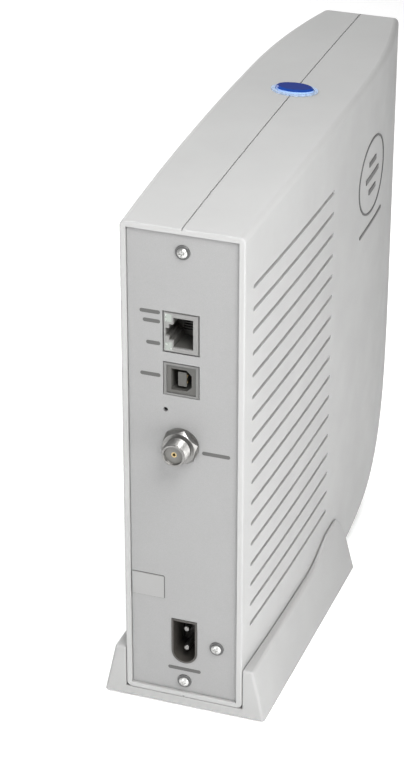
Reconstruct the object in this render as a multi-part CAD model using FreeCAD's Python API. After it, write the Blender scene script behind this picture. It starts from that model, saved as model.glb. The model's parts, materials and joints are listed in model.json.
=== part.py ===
"""Upright cable modem on a flared stand: case, ports, buttons, boards and power supply.

Millimetres, +Z up. The port panel faces -Y, the rounded nose with the status lights faces +Y.
Inside this script y is measured from the rear rim of the case; save() moves every piece so
that the origin lies at the centre of the underside of the whole object.
"""
import FreeCAD, Part
import math
import os

V = FreeCAD.Vector

# Case
WALL = 2.2
REAR_HALF_WIDTH = 23.4
UNDERSIDE = 4.4
FLAT_BOTTOM_LENGTH = 114.8
PAST_REAR = 20.0
EDGE_RADIUS = 2.2
RIM_RADIUS = 0.6
FRONT_RUNS = ((160.0, 16.0), (84.0, 70.0), (946.0, 7.0), (7.0, 87.3), (4100.0, 3.4))
SIDE_LEAN = 2.6
SIDE_RUNS = ((2200.0, 3.9), (300.0, 15.5))
NOSE = 221.85
SEAM_WIDTH = 0.5
SEAM_DEPTH = 0.8

# Vent slots in both sides
VENT_COUNT = 17
VENT_FIRST_Z = 38.0
VENT_PITCH = 8.8
VENT_HEIGHT = 1.7
VENT_REAR = 8.0
VENT_FRONT = 98.0

# Port panel
PANEL_HALF_WIDTH = 21.0
PANEL_FACE = 1.0
PANEL_THICKNESS = 1.2
PANEL_LOW = 6.8
PANEL_HIGH = 198.4
PANEL_INSIDE = PANEL_FACE + PANEL_THICKNESS
LEDGE_WIDTH = 1.6
LEDGE_THICKNESS = 2.0
LABEL_RIGHT = -8.0
LABEL_LOW = 47.2
LABEL_HIGH = 56.8
LABEL_RELIEF = 0.35
SCREW_SPOTS = ((0.0, 191.6), (13.0, 29.0), (0.0, 11.4))
SCREW_HEAD_RADIUS = 1.9
SCREW_HEAD_HEIGHT = 1.3
SCREW_WASHER_RADIUS = 2.8
SCREW_WASHER_THICKNESS = 0.5
SCREW_SHANK_RADIUS = 1.4
SCREW_LENGTH = 9.0

# Boards
BOARD_FACE = -9.2
BOARD_THICKNESS = 1.6
BOARD_BACK = BOARD_FACE - BOARD_THICKNESS
MAIN_OUTLINE = ((5.6, 53.0), (150.0, 53.0), (194.0, 76.0), (204.0, 108.0), (204.0, 187.0), (5.6, 187.0))
SUPPLY_OUTLINE = ((8.0, 10.0), (122.0, 10.0), (122.0, 49.0), (8.0, 49.0))
BOARD_SCREW_SPOTS = (
    (30.0, 180.0), (184.0, 178.0), (22.0, 62.0), (172.0, 80.0), (114.0, 42.0), (114.0, 17.0), (30.0, 44.0),
)
BOSS_RADIUS = 3.2
BOARD_SCREW_RADIUS = 1.25

# Network jack, standing on its side with the latch towards the board
JACK_X = -0.8
JACK_Z = 159.7
JACK_WIDE = 13.6
JACK_HIGH = 15.9
JACK_DEPTH = 16.0
JACK_FACE = 0.9
PLUG_HALF = 5.95
PLUG_NEAR = -3.0
PLUG_FAR = 4.6
LATCH_STEPS = ((3.2, -4.6), (1.6, -5.9))
JACK_SHELL = 0.35
JACK_FRAME = 1.0
JACK_PEG_Y = 9.9
JACK_PEG_Z = 5.7
CONTACT_COUNT = 8
CONTACT_PITCH = 1.02

# Square data socket
DATA_X = -0.8
DATA_Z = 141.0
DATA_WIDE = 13.4
DATA_HIGH = 12.9
DATA_DEPTH = 15.5
DATA_CAVITY_X = 7.8
DATA_CAVITY_Z = 8.45
DATA_CHAMFER = 1.9
DATA_CAVITY_DEPTH = 9.0
DATA_LEG_Y = 6.9
DATA_LEG_LENGTH = 2.4
DATA_LEG_Z = 5.7

# Aerial-cable connector with its panel nut
COAX_X = -0.9
COAX_Z = 114.5
COAX_RADIUS = 4.76
COAX_ROOT_RADIUS = 4.5
COAX_REACH = 8.8
COAX_BORE = 3.6
NUT_ACROSS_FLATS = 12.6
NUT_THICKNESS = 2.6
WASHER_THICKNESS = 0.6
WASHER_RADIUS = 6.9
CONTACT_BORE = 0.6

# Mains inlet
INLET_X = 0.0
INLET_Z = 29.2
INLET_WIDE = 10.2
INLET_HIGH = 19.2
INLET_LIP = 0.75
INLET_DEPTH = 21.0
INLET_CAVITY_DEPTH = 12.5
INLET_PIN_RADIUS = 1.2
INLET_PIN_SPACING = 8.6
INLET_PIN_LENGTH = 10.0

# Tuner's metal box on the main board, as its corners in x, y and z
TUNER = (BOARD_FACE, 7.6, 8.0, 72.0, 97.0, 124.0)
TUNER_SHEET = 0.6
TUNER_WALLS = (28.0, 50.0)
TUNER_HOLE_RADIUS = 1.6
TUNER_HOLES_Y = (18.0, 39.0, 61.0)
TUNER_HOLES_Z = (104.0, 117.0)
LID_SHEET = 0.5
LID_OVERHANG = 0.4
LID_SKIRT = 4.0

# Parts on the main board
PROCESSOR_AT = (104.0, 120.0)
PROCESSOR_SIDE = 27.0
PROCESSOR_THICKNESS = 2.2
SINK_SIDE_Y = 26.0
SINK_SIDE_Z = 25.0
SINK_BASE = 2.0
SINK_HEIGHT = 12.0
FIN_COUNT = 8
FIN_PITCH = 3.4
FIN_THICKNESS = 1.2
MEMORY_SPOTS = ((148.0, 140.0), (148.0, 124.0), (148.0, 108.0), (104.0, 152.0))
LINE_TRANSFORMER_AT = (32.0, 160.0)
CRYSTAL_Y = 74.0
CRYSTAL_RADIUS = 2.2
CRYSTAL_HEIGHT = 3.6
CRYSTAL_ENDS_Z = (146.0, 153.0)
CAPACITOR_SPOTS = ((60.0, 172.0), (72.0, 172.0), (84.0, 172.0), (60.0, 72.0), (74.0, 72.0), (132.0, 70.0))
CAPACITOR_RADIUS = 4.0
CAPACITOR_HEIGHT = 9.0

# Parts on the supply board
CORE_Y = (62.0, 90.0)
CORE_Z = (17.0, 42.0)
CORE_HEIGHT = 22.0
CORE_LIMB = 4.0
CORE_LEG_Y = (72.0, 80.0)
MAINS_CAPACITOR_RADIUS = 8.0
MAINS_CAPACITOR_Y = (31.0, 56.0)
MAINS_CAPACITOR_Z = 30.0
SUPPLY_SINK_Y = (96.0, 108.0)
SUPPLY_SINK_Z = (15.0, 40.0)
SUPPLY_SINK_HEIGHT = 20.0
SUPPLY_SINK_SHEET = 1.6
FUSE_X = BOARD_FACE + 3.4
FUSE_Z = 16.0
FUSE_ENDS_Y = (33.0, 53.0)
FUSE_RADIUS = 2.6
FUSE_CAP_RADIUS = 3.0
FUSE_CAP_LENGTH = 3.0
CHOKE_AT = (114.0, 29.5)
CHOKE_RADIUS = 6.4
CHOKE_BORE = 2.8
CHOKE_HEIGHT = 6.5

# Supply lead inside the case
PLUG_Y = (84.0, 98.0)
PLUG_FEET_Z = (43.4, 57.0)
PLUG_THICKNESS = 5.4
PLUG_REACH = 7.0
LEAD_COUNT = 4
LEAD_FIRST_Y = 86.4
LEAD_PITCH = 3.06
LEAD_RADIUS = 0.75
LEAD_RISE = 1.8

# Reset button behind its pinhole
RESET_X = -6.9
RESET_Z = 128.2
RESET_HOLE_RADIUS = 0.9

# Standby button on top
STANDBY_Y = 126.0
STANDBY_HALF_X = 7.7
STANDBY_HALF_Y = 4.5
STANDBY_TRAVEL = 1.2
CASE_TOP = 206.0
STANDBY_TOP = CASE_TOP + 1.9
BEZEL_TOP = CASE_TOP + 0.6
FLANGE_TOP = CASE_TOP - 3.3
FLANGE_BOTTOM = FLANGE_TOP - 1.4
GUIDE_FLOOR = CASE_TOP - 13.5
PLUNGER_TOP = CASE_TOP - 15.0
STEM_RADIUS = 2.4
CUP_RADIUS = 5.2

# Status lights and their window
LIGHT_COUNT = 6
LIGHT_FIRST_Z = 112.0
LIGHT_PITCH = 11.0
WINDOW_HALF_WIDTH = 3.6
WINDOW_LOW = 102.0
WINDOW_HIGH = 178.0

# Stand
STAND_LENGTH = 118.0
STAND_FOOT_HALF_WIDTH = 32.5
STAND_FLARE = 0.21
STAND_UNDERSIDE = 0.8
STAND_WALL_TOP = 22.0
STAND_EAR_TOP = 29.5
STAND_ROUNDING = 1.2
STAND_INNER_ROUNDING = 0.5
STAND_GAP = 0.2
FOOT_RADIUS = 4.5
FOOT_THICKNESS = 1.6
FOOT_SPOTS = ((24.5, 9.0), (-24.5, 9.0), (24.5, 108.0), (-24.5, 108.0))
STAND_SCREW_SPOTS = (24.0, 97.0)

# Side badge
BADGE_Y = 152.0
BADGE_Z = 164.0
BADGE_HALF_Y = 20.0
BADGE_HALF_Z = 16.0
BADGE_LINE = 0.8
BADGE_RELIEF = 0.3
BADGE_BARS = ((5.0, -6.0, 2.0), (9.5, 0.0, 2.0), (5.0, 6.0, 2.0), (17.0, -21.0, 1.2))

Y_CENTRE = (NOSE - (COAX_REACH - PANEL_FACE)) / 2


# ---------------------------------------------------------------- helpers
def box(x0, x1, y0, y1, z0, z1):
    return Part.makeBox(x1 - x0, y1 - y0, z1 - z0, V(x0, y0, z0))


def rod(radius, start, end):
    axis = V(*end) - V(*start)
    return Part.makeCylinder(radius, axis.Length, V(*start), axis)


def fuse(shapes):
    shapes = list(shapes)
    joined = shapes[0].multiFuse(shapes[1:]) if len(shapes) > 1 else shapes[0]
    return joined.removeSplitter()


def plate(corners, x0, x1):
    """A plate in the YZ plane between x0 and x1, cut to a polygon of (y, z) corners."""
    points = [V(x0, y, z) for y, z in corners]
    return Part.Face(Part.makePolygon(points + points[:1])).extrude(V(x1 - x0, 0, 0))


def slab(corners, y0, y1):
    """A solid between y0 and y1 with a polygon of (x, z) corners as its section."""
    points = [V(x, y0, z) for x, z in corners]
    return Part.Face(Part.makePolygon(points + points[:1])).extrude(V(0, y1 - y0, 0))


def oval(half_x, half_y, z0, z1):
    """An upright oval disc centred on the standby button's axis."""
    major, minor = max(half_x, half_y), min(half_x, half_y)
    curve = Part.Ellipse(V(0, STANDBY_Y, z0), major, minor)
    return Part.Face(Part.Wire(curve.toShape())).extrude(V(0, 0, z1 - z0))


def hexagon(across_flats, centre_x, centre_z, y0, y1):
    corner = across_flats / 2 / math.cos(math.pi / 6)
    angles = [math.radians(60 * i + 15) for i in range(6)]
    corners = [(centre_x + corner * math.cos(a), centre_z + corner * math.sin(a)) for a in angles]
    return slab(corners, y0, y1)


class Pen:
    """Draws straight runs and tangent left-hand arcs; inset shifts the line to its left."""

    def __init__(self, start, heading, inset):
        self.heading = math.radians(heading)
        self.inset = inset
        self.at = (start[0] - inset * math.sin(self.heading), start[1] + inset * math.cos(self.heading))
        self.pieces = []

    def run(self, length):
        end = (self.at[0] + length * math.cos(self.heading), self.at[1] + length * math.sin(self.heading))
        self.pieces.append((self.at, end))
        self.at = end

    def turn(self, radius, angle):
        radius -= self.inset
        centre = (self.at[0] - radius * math.sin(self.heading), self.at[1] + radius * math.cos(self.heading))

        def point(heading):
            return centre[0] + radius * math.sin(heading), centre[1] - radius * math.cos(heading)

        last = self.heading + math.radians(angle)
        middle = (self.heading + last) / 2
        self.pieces.append((self.at, point(middle), point(last)))
        self.at, self.heading = point(last), last


def edges(pieces, place):
    """Turns pen strokes into edges; place maps the two drawing coordinates to a point."""
    made = []
    for stroke in pieces:
        points = [place(*p) for p in stroke]
        made.append(Part.makeLine(*points) if len(points) == 2 else Part.Arc(*points).toShape())
    return made


# ---------------------------------------------------------------- case
def side_profile(inset, reach):
    """The case seen from the side, as a solid reach wide each way from the middle."""
    pen = Pen((-PAST_REAR, UNDERSIDE), 0, inset)
    pen.run(PAST_REAR + FLAT_BOTTOM_LENGTH)
    for radius, angle in FRONT_RUNS:
        pen.turn(radius, angle)
    outline = edges(pen.pieces, lambda y, z: V(-reach, y, z))
    first, last = outline[0].Vertexes[0].Point, V(-reach, *pen.at)
    outline.append(Part.makeLine(last, first))
    return Part.Face(Part.Wire(outline)).extrude(V(2 * reach, 0, 0))


def plan_profile(inset, low, high):
    """The case seen from above, as a solid between the heights low and high."""
    lean = math.radians(SIDE_LEAN)
    pen = Pen((REAR_HALF_WIDTH - PAST_REAR * math.tan(lean), -PAST_REAR), 90 - SIDE_LEAN, inset)
    pen.run(PAST_REAR / math.cos(lean))
    for radius, angle in SIDE_RUNS:
        pen.turn(radius, angle)
    right = edges(pen.pieces, lambda x, y: V(x, y, low))
    left = edges(pen.pieces, lambda x, y: V(-x, y, low))
    nose = Part.makeLine(right[-1].Vertexes[-1].Point, left[-1].Vertexes[-1].Point)
    rear = Part.makeLine(right[0].Vertexes[0].Point, left[0].Vertexes[0].Point)
    outline = Part.Wire(Part.__sortEdges__(right + left + [nose, rear]))
    return Part.Face(outline).extrude(V(0, 0, high - low))


def envelope(inset):
    """The case's outer form taken in by inset, still running past the rear."""
    return side_profile(inset, 40).common(plan_profile(inset, -10, 240))


def rounded_case():
    """The outer form, cut off at the rear, with its long edges and its rear rim rounded."""
    solid = envelope(0).common(box(-40, 40, 0, 260, -10, 240))
    sharp = []
    for edge in solid.Edges:
        middle = edge.valueAt((edge.FirstParameter + edge.LastParameter) / 2)
        across = abs(edge.Vertexes[0].X - edge.Vertexes[-1].X) > 30
        if middle.y > 0.1 and not across and follows_side(edge):
            sharp.append(edge)
    solid = solid.makeFillet(EDGE_RADIUS, sharp)
    rim = [e for e in solid.Edges if e.BoundBox.YMax < 0.01]
    return solid.makeFillet(RIM_RADIUS, rim)


def follows_side(edge):
    """True for the edges along which the case's side meets its top, nose or bottom."""
    a, b = edge.Vertexes[0].Point, edge.Vertexes[-1].Point
    radius, angle = SIDE_RUNS[0]
    side_joint = radius * (math.sin(math.radians(SIDE_LEAN)) + math.sin(math.radians(angle - SIDE_LEAN)))
    upright = abs(a.y - side_joint) < 1 and abs(b.y - side_joint) < 1
    return not upright and abs(a.y - b.y) + abs(a.z - b.z) > 1


def vent_slots():
    radius = VENT_HEIGHT / 2
    slots = []
    for i in range(VENT_COUNT):
        z = VENT_FIRST_Z + i * VENT_PITCH
        slots.append(box(-40, 40, VENT_REAR + radius, VENT_FRONT - radius, z - radius, z + radius))
        for y in (VENT_REAR + radius, VENT_FRONT - radius):
            slots.append(rod(radius, (-40, y, z), (40, y, z)))
    return slots


def seam_groove(outer):
    """A shallow groove that runs round the case where its two halves meet."""
    half = SEAM_WIDTH / 2
    return outer.cut(envelope(SEAM_DEPTH)).common(box(-half, half, -1, 260, 0, 240))


def panel_ledge(cavity):
    """The inner rib that the port panel rests against."""
    rear, front = PANEL_INSIDE, PANEL_INSIDE + LEDGE_THICKNESS
    ring = cavity.common(box(-40, 40, rear, front, 0, 240))
    window = box(
        -PANEL_HALF_WIDTH + LEDGE_WIDTH, PANEL_HALF_WIDTH - LEDGE_WIDTH, rear, front,
        PANEL_LOW + LEDGE_WIDTH, PANEL_HIGH - LEDGE_WIDTH,
    )
    return ring.cut(window)


def panel_bosses():
    """Blocks behind the panel that its screws bite into."""
    rear, front = PANEL_INSIDE, PANEL_INSIDE + SCREW_LENGTH + 2
    reach = BOSS_RADIUS + 0.8
    top_x, top_z = SCREW_SPOTS[0]
    low_x, low_z = SCREW_SPOTS[2]
    upper = box(top_x - reach, top_x + reach, rear, front, top_z - reach, 202)
    lower = box(low_x - reach, low_x + reach, rear, front, 4, low_z + 2.6)
    return [upper, lower]


def board_bosses():
    return [rod(BOSS_RADIUS, (-30, y, z), (BOARD_BACK, y, z)) for y, z in BOARD_SCREW_SPOTS]


def stand_bosses():
    """Posts on the case's floor for the screws that hold the stand."""
    return [rod(3.6, (0, y, UNDERSIDE + 0.5), (0, y, 15)) for y in STAND_SCREW_SPOTS]


def side_boss():
    """The post on the right half for the panel screw beside the mains inlet."""
    x, z = SCREW_SPOTS[1]
    front = PANEL_INSIDE + SCREW_LENGTH + 2
    post = rod(3.3, (x, PANEL_INSIDE, z), (x, front, z))
    rib = box(x, 30, PANEL_INSIDE, front, z - 1.5, z + 1.5)
    return post.fuse(rib)


def screw_pilots():
    """Pilot holes for every screw, a little under the thread's size so that it bites."""
    pilots = []
    for x, z in SCREW_SPOTS:
        pilots.append(rod(SCREW_SHANK_RADIUS, (x, 0, z), (x, PANEL_INSIDE + SCREW_LENGTH, z)))
    for y, z in BOARD_SCREW_SPOTS:
        pilots.append(rod(BOARD_SCREW_RADIUS, (BOARD_BACK - 7, y, z), (BOARD_BACK, y, z)))
    for y in STAND_SCREW_SPOTS:
        pilots.append(rod(SCREW_SHANK_RADIUS, (0, y, 0), (0, y, 12.4)))
    return pilots


def case_halves():
    outer = rounded_case()
    cavity = envelope(WALL)
    inside = cavity.common(box(-40, 40, PANEL_INSIDE, 260, 0, 240))
    walls = outer.cut(cavity)
    ledge = panel_ledge(cavity)
    left_inner = fuse(panel_bosses() + board_bosses() + stand_bosses()).common(inside)
    right_inner = side_boss().common(inside)
    window = box(
        -WINDOW_HALF_WIDTH - 0.1, WINDOW_HALF_WIDTH + 0.1, 190, 260, WINDOW_LOW - 0.1, WINDOW_HIGH + 0.1,
    )
    button_hole = oval(STANDBY_HALF_X + 1.0, STANDBY_HALF_Y + 1.0, 200, 240)
    cuts = vent_slots() + [seam_groove(outer), window, button_hole]
    left = walls.fuse(ledge).common(box(-40, 0, -1, 260, 0, 240))
    right = walls.fuse(ledge).common(box(0, 40, -1, 260, 0, 240))
    right = right.cut(left_inner)
    left = left.fuse(left_inner).cut(Part.makeCompound(cuts + screw_pilots()))
    right = right.fuse(right_inner).cut(Part.makeCompound(cuts + screw_pilots()))
    return left.removeSplitter(), right.removeSplitter()


def screw(head_radius, head_height, shank_radius, length, spot, direction):
    """A domed screw whose head stands at spot, with a cross recess, pointing along direction."""
    dome = head_radius * 1.35
    centre = dome - head_height
    head = Part.makeSphere(dome, V(0, 0, centre)).common(
        Part.makeCylinder(head_radius, head_height, V(0, 0, -head_height))
    )
    shank = Part.makeCylinder(shank_radius, length)
    arm = head_radius * 0.55
    blade = head_radius * 0.13
    depth = head_height * 0.6
    for x, y in ((arm, blade), (blade, arm)):
        slot = Part.makeBox(2 * x, 2 * y, depth, V(-x, -y, -head_height - 0.01))
        head = head.cut(slot)
    body = head.fuse(shank).removeSplitter()
    turn = FreeCAD.Rotation(V(0, 0, 1), V(*direction))
    body.Placement = FreeCAD.Placement(V(*spot), turn)
    return body


def panel_screws():
    face = PANEL_FACE - SCREW_WASHER_THICKNESS
    length = PANEL_THICKNESS + SCREW_LENGTH - 1
    return Part.makeCompound([
        screw(SCREW_HEAD_RADIUS, SCREW_HEAD_HEIGHT, SCREW_SHANK_RADIUS, length, (x, face, z), (0, 1, 0))
        for x, z in SCREW_SPOTS
    ])


def panel_washers():
    """The dark washer under each panel screw, its outer edge rounded over."""
    washers = []
    outer = PANEL_FACE - SCREW_WASHER_THICKNESS
    for x, z in SCREW_SPOTS:
        disc = rod(SCREW_WASHER_RADIUS, (x, outer, z), (x, PANEL_FACE, z))
        rim = [e for e in disc.Edges if abs(e.BoundBox.YMax - outer) < 0.01]
        hole = rod(SCREW_SHANK_RADIUS + 0.1, (x, outer - 1, z), (x, PANEL_FACE + 1, z))
        washers.append(disc.makeFillet(0.25, rim).cut(hole))
    return Part.makeCompound(washers)


def board_screws():
    return Part.makeCompound([
        screw(2.5, 1.5, BOARD_SCREW_RADIUS, 7.0, (BOARD_FACE, y, z), (-1, 0, 0))
        for y, z in BOARD_SCREW_SPOTS
    ])


def stand_screws():
    return Part.makeCompound([
        screw(2.6, 1.5, SCREW_SHANK_RADIUS, 8.5, (0, y, 3.0), (0, 0, 1)) for y in STAND_SCREW_SPOTS
    ])


# ---------------------------------------------------------------- port panel
def inlet_section(wide, high, y0, y1):
    """The mains inlet's section: flat at the top, round at the bottom."""
    half = wide / 2
    straight = box(INLET_X - half, INLET_X + half, y0, y1, INLET_Z - high / 2 + half, INLET_Z + high / 2)
    low = INLET_Z - high / 2 + half
    return straight.fuse(rod(half, (INLET_X, y0, low), (INLET_X, y1, low))).removeSplitter()


def panel():
    y0, y1 = PANEL_FACE, PANEL_INSIDE
    gap = 0.25
    sheet = box(-PANEL_HALF_WIDTH, PANEL_HALF_WIDTH, y0, y1, PANEL_LOW, PANEL_HIGH)
    holes = [
        frame_box(JACK_X, JACK_Z, JACK_WIDE + 2 * gap, JACK_HIGH + 2 * gap, y0, y1),
        frame_box(DATA_X, DATA_Z, DATA_WIDE + 2 * gap, DATA_HIGH + 2 * gap, y0, y1),
        rod(RESET_HOLE_RADIUS, (RESET_X, y0, RESET_Z), (RESET_X, y1, RESET_Z)),
        rod(COAX_ROOT_RADIUS + 0.1, (COAX_X, y0, COAX_Z), (COAX_X, y1, COAX_Z)),
        inlet_section(INLET_WIDE + 0.1, INLET_HIGH + 0.1, y0, y1),
    ]
    for x, z in SCREW_SPOTS:
        holes.append(rod(SCREW_SHANK_RADIUS + 0.15, (x, y0, z), (x, y1, z)))
    return sheet.cut(Part.makeCompound(holes))


def frame_box(x, z, wide, high, y0, y1):
    return box(x - wide / 2, x + wide / 2, y0, y1, z - high / 2, z + high / 2)


def label_plate():
    """The small raised blank plate at the panel's left edge."""
    edge = -PANEL_HALF_WIDTH + 0.3
    return box(edge, LABEL_RIGHT, PANEL_FACE - LABEL_RELIEF, PANEL_FACE, LABEL_LOW, LABEL_HIGH)


# ---------------------------------------------------------------- network jack
def jack_cavity(extra):
    """The plug's space with its stepped latch notch, grown by extra all round."""
    front = JACK_FACE - 1
    back = JACK_FACE + 11.5
    spaces = [box(JACK_X + PLUG_NEAR - extra, JACK_X + PLUG_FAR + extra, front, back,
                  JACK_Z - PLUG_HALF - extra, JACK_Z + PLUG_HALF + extra)]
    near = PLUG_NEAR
    for half, depth in LATCH_STEPS:
        spaces.append(box(JACK_X + depth - extra, JACK_X + near, front, back,
                          JACK_Z - half - extra, JACK_Z + half + extra))
        near = depth
    return fuse(spaces)


def jack_led_windows():
    """Two small lights in the jack's face, above and below the latch notch."""
    lights = []
    for side in (-1, 1):
        z = JACK_Z + side * 5.6
        lights.append(box(JACK_X - 6.0, JACK_X - 3.6, JACK_FACE, JACK_FACE + 9, z - 1.5, z + 1.5))
    return lights


def contact_heights():
    middle = (CONTACT_COUNT - 1) / 2
    return [JACK_Z + (i - middle) * CONTACT_PITCH for i in range(CONTACT_COUNT)]


def jack_block(face):
    """The block that fills the jack's shield, from face to the shield's closed end."""
    wide, high = JACK_WIDE - 2 * JACK_SHELL, JACK_HIGH - 2 * JACK_SHELL
    return frame_box(JACK_X, JACK_Z, wide, high, face, JACK_FACE + JACK_DEPTH - JACK_SHELL)


def jack_frame():
    """The light frame at the jack's mouth, with the latch notch and the lights' windows."""
    frame = jack_block(JACK_FACE).cut(jack_block(JACK_FACE + JACK_FRAME))
    return frame.cut(Part.makeCompound([jack_cavity(0)] + jack_led_windows()))


def jack_housing():
    """The dark block behind the frame, with the plug's space and the contacts' slots."""
    feet = []
    for side in (-1, 1):
        z = JACK_Z + side * JACK_PEG_Z
        feet.append(rod(0.9, (BOARD_BACK, JACK_PEG_Y, z), (JACK_X - 6, JACK_PEG_Y, z)))
    body = fuse([jack_block(JACK_FACE + JACK_FRAME)] + feet)
    slots = []
    far = JACK_X + PLUG_FAR + 1.2
    rear, deep, end = JACK_FACE + 1.5, JACK_FACE + 11.0, JACK_FACE + 13.5
    for z in contact_heights():
        slots.append(box(JACK_X + PLUG_FAR, far, rear, end, z - 0.3, z + 0.3))
        slots.append(box(JACK_X + PLUG_NEAR, far, deep, end, z - 0.3, z + 0.3))
    return body.cut(Part.makeCompound([jack_cavity(0)] + slots + jack_led_windows()))


def jack_shield():
    """The folded metal can round the jack, open at the front and towards the board."""
    outer = frame_box(JACK_X, JACK_Z, JACK_WIDE, JACK_HIGH, JACK_FACE + 0.6, JACK_FACE + JACK_DEPTH)
    towards_board = box(
        JACK_X - 10, JACK_X - JACK_WIDE / 2 + JACK_SHELL, JACK_PEG_Y - 2.5, JACK_PEG_Y + 2.5,
        JACK_Z - 6.9, JACK_Z + 6.9,
    )
    return outer.cut(jack_block(JACK_FACE)).cut(towards_board)


def jack_contacts():
    """Eight spring contacts that slope across the plug's space."""
    wires = []
    tip, root = JACK_X + 2.3, JACK_X + PLUG_FAR + 0.5
    front, bend, end = JACK_FACE + 2.4, JACK_FACE + 8.6, JACK_FACE + 12.6
    thick, half = 0.3, 0.16
    corners = (
        (root, front), (tip, bend), (tip, end),
        (tip - thick, end), (tip - thick, bend - 0.1), (root - thick, front),
    )
    for z in contact_heights():
        points = [V(x, y, z - half) for x, y in corners]
        wires.append(Part.Face(Part.makePolygon(points + points[:1])).extrude(V(0, 0, 2 * half)))
    return Part.makeCompound(wires)


# ---------------------------------------------------------------- data socket
def data_cavity(y0, y1):
    """The socket's D-shaped mouth, its chamfered corners away from the board."""
    hx, hz, c = DATA_CAVITY_X / 2, DATA_CAVITY_Z / 2, DATA_CHAMFER
    corners = [(-hx, -hz), (hx - c, -hz), (hx, -hz + c), (hx, hz - c), (hx - c, hz), (-hx, hz)]
    return slab([(DATA_X + x, DATA_Z + z) for x, z in corners], y0, y1)


def data_shell():
    """The socket's metal shell with its turned-out front frame."""
    face = PANEL_FACE - 0.1
    frame = frame_box(DATA_X, DATA_Z, DATA_WIDE, DATA_HIGH, face, face + 0.6)
    sleeve = frame_box(DATA_X, DATA_Z, DATA_WIDE - 1.4, DATA_HIGH - 0.9, face, face + DATA_DEPTH)
    inner = frame_box(DATA_X, DATA_Z, DATA_WIDE - 2.2, DATA_HIGH - 1.7, face - 1, face + DATA_DEPTH - 0.4)
    return fuse([frame, sleeve] + data_legs(0)).cut(inner)


def data_legs(gap):
    """The shell's two soldered legs, grown by gap all round."""
    legs = []
    root = DATA_X - (DATA_WIDE - 1.4) / 2 + 0.2
    rear, front = DATA_LEG_Y - gap, DATA_LEG_Y + DATA_LEG_LENGTH + gap
    for side in (-1, 1):
        z = DATA_Z + side * DATA_LEG_Z
        legs.append(box(BOARD_BACK, root, rear, front, z - 0.2 - gap, z + 0.2 + gap))
    return legs


def data_insert():
    """The insulating block with the D-shaped mouth and the tongue inside it."""
    face = PANEL_FACE + 0.2
    body = frame_box(DATA_X, DATA_Z, DATA_WIDE - 2.2, DATA_HIGH - 1.7, face, face + DATA_DEPTH - 0.7)
    body = body.cut(data_cavity(face - 1, face + DATA_CAVITY_DEPTH))
    tongue = frame_box(DATA_X, DATA_Z, 3.2, 5.6, face + 0.9, face + DATA_CAVITY_DEPTH + 0.5)
    return body.fuse(tongue).removeSplitter()


def data_contacts():
    """Two contact strips on each side of the tongue."""
    face = PANEL_FACE + 1.8
    strips = []
    for side in (-1, 1):
        for z in (-1.25, 1.25):
            x = DATA_X + side * 1.7
            strips.append(box(x - 0.1, x + 0.1, face, face + 7.0, DATA_Z + z - 0.5, DATA_Z + z + 0.5))
    return Part.makeCompound(strips)


# ---------------------------------------------------------------- aerial-cable connector
def coax_body():
    """The connector's barrel, thinner where the nut grips it, and its flange behind the panel."""
    tip = PANEL_FACE - COAX_REACH
    nut_face = PANEL_FACE - WASHER_THICKNESS - NUT_THICKNESS
    free_end = rod(COAX_RADIUS, (COAX_X, tip, COAX_Z), (COAX_X, nut_face, COAX_Z))
    root = rod(COAX_ROOT_RADIUS, (COAX_X, nut_face, COAX_Z), (COAX_X, 8.0, COAX_Z))
    flange = frame_box(COAX_X, COAX_Z, 13.0, 13.0, PANEL_INSIDE, PANEL_INSIDE + 2.0)
    bore = rod(COAX_BORE, (COAX_X, tip - 1, COAX_Z), (COAX_X, 8.0, COAX_Z))
    body = fuse([free_end, root, flange]).cut(bore)
    rim = []
    for edge in body.Edges:
        at_tip = abs(edge.BoundBox.YMax - tip) < 0.01
        if at_tip and edge.BoundBox.XLength > 2 * COAX_BORE + 0.5:
            rim.append(edge)
    return body.makeChamfer(0.4, rim)


def coax_insulator():
    tip = PANEL_FACE - COAX_REACH
    plug = rod(COAX_BORE, (COAX_X, tip + 1.2, COAX_Z), (COAX_X, 8.0, COAX_Z))
    return plug.cut(rod(1.0, (COAX_X, tip, COAX_Z), (COAX_X, 8.0, COAX_Z)))


def coax_contact():
    tip = PANEL_FACE - COAX_REACH
    sleeve = rod(1.0, (COAX_X, tip + 1.2, COAX_Z), (COAX_X, 12.0, COAX_Z))
    return sleeve.cut(rod(CONTACT_BORE, (COAX_X, tip, COAX_Z), (COAX_X, 6.0, COAX_Z)))


def coax_washer():
    outer = PANEL_FACE - WASHER_THICKNESS
    ring = rod(WASHER_RADIUS, (COAX_X, outer, COAX_Z), (COAX_X, PANEL_FACE, COAX_Z))
    bore = rod(COAX_ROOT_RADIUS + 0.1, (COAX_X, outer - 1, COAX_Z), (COAX_X, PANEL_FACE + 1, COAX_Z))
    return ring.cut(bore)


def coax_nut():
    """The hexagonal panel nut, its outer corners chamfered round."""
    inner = PANEL_FACE - WASHER_THICKNESS
    outer = inner - NUT_THICKNESS
    nut = hexagon(NUT_ACROSS_FLATS, COAX_X, COAX_Z, outer, inner)
    corner = NUT_ACROSS_FLATS / 2 / math.cos(math.pi / 6)
    cone = Part.makeCone(NUT_ACROSS_FLATS / 2 - 0.1, corner + 2.0, 4.0, V(COAX_X, outer, COAX_Z), V(0, 1, 0))
    bore = rod(COAX_ROOT_RADIUS + 0.02, (COAX_X, outer - 1, COAX_Z), (COAX_X, inner + 1, COAX_Z))
    return nut.common(cone).cut(bore)


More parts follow.
